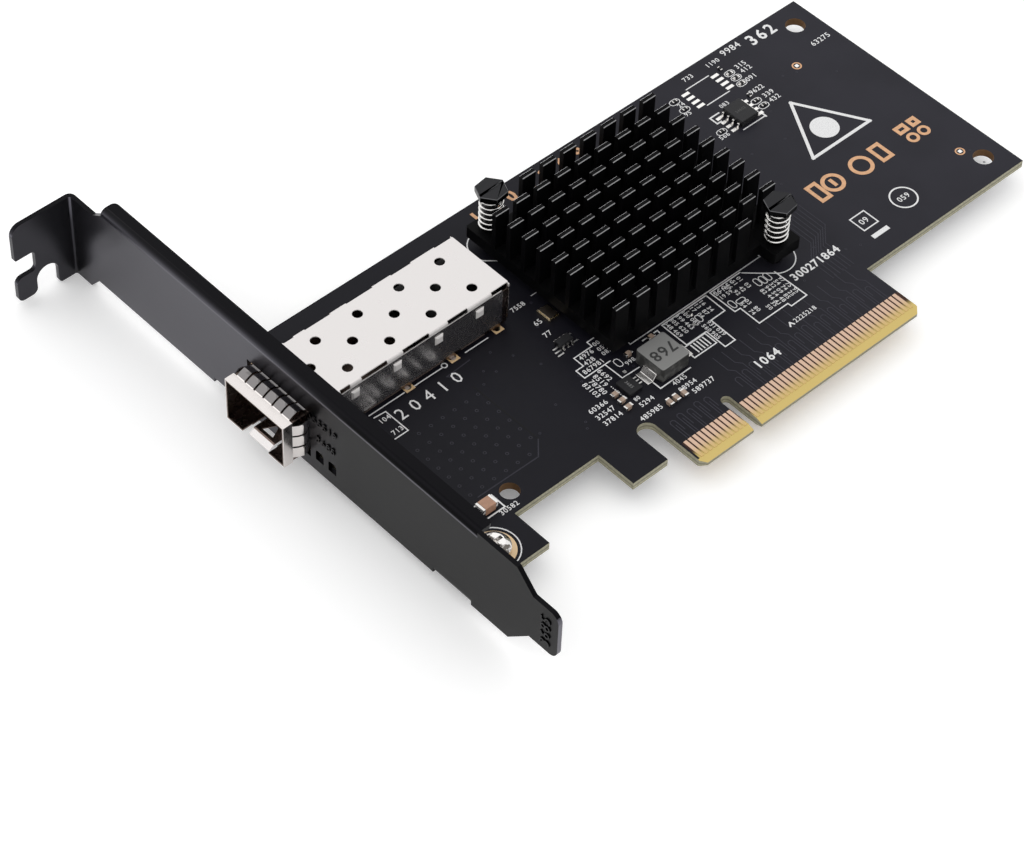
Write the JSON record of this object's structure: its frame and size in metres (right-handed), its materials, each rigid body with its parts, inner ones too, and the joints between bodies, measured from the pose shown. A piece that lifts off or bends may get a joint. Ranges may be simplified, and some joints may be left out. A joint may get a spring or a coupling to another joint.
{
  "type": "network interface card",
  "caption": "Edge-connector network card with a folded mounting bracket, a pluggable-module cage and a pin-fin heatsink on sprung pins.",
  "frame": {"origin": "centre of the edge connector's key notch, on the connector's bottom edge, in the middle of the board's thickness", "axes": "+X along the card away from the bracket, +Y from the edge connector to the card's top edge, +Z out of the component side"},
  "size_m": [0.1512, 0.1201, 0.0212],
  "materials": {
    "board": "dark solder-masked glass laminate",
    "gold": "bright gold plating",
    "bracket": "satin black",
    "screws": "bright plated steel",
    "cage_inner": "bright tinned sheet",
    "cage_outer": "bright tinned sheet",
    "collar": "bright spring sheet",
    "housing": "moulded black plastic",
    "chip": "moulded package",
    "thermal_pad": "soft grey pad",
    "heatsink": "black anodised",
    "pins": "dark oxide",
    "springs": "bright wire",
    "ferrite": "grey moulded powder core",
    "tin": "tinned",
    "crystal": "fired ceramic with a gilt rim",
    "lid": "satin metal lid",
    "capacitor": "tan ceramic",
    "resistor": "black film",
    "bulk": "orange-brown ceramic",
    "light": "clear lens"
  },
  "bodies": {
    "root": {"circuit_board": "board", "contacts_component_side": "gold", "contacts_solder_side": "gold", "gold_pads": "gold", "bracket": "bracket", "bracket_screws": "screws", "cage_body": "cage_inner", "cage_cover": "cage_outer", "cage_spring_collar": "collar", "port_connector": "housing", "port_contacts": "gold", "controller_chip": "chip", "thermal_pad": "thermal_pad", "heatsink": "heatsink", "heatsink_pins": "pins", "heatsink_springs": "springs", "inductor_body": "ferrite", "inductor_terminals": "tin", "power_regulator": "chip", "crystal_base": "crystal", "crystal_lid": "lid", "memory_chip": "chip", "memory_chip_leads": "tin", "level_chip": "chip", "level_chip_leads": "tin", "capacitor_bodies": "capacitor", "capacitor_caps": "tin", "resistor_bodies": "resistor", "resistor_caps": "tin", "input_capacitor_body": "bulk", "input_capacitor_caps": "tin", "status_lights": "light"}
  },
  "joints": []
}
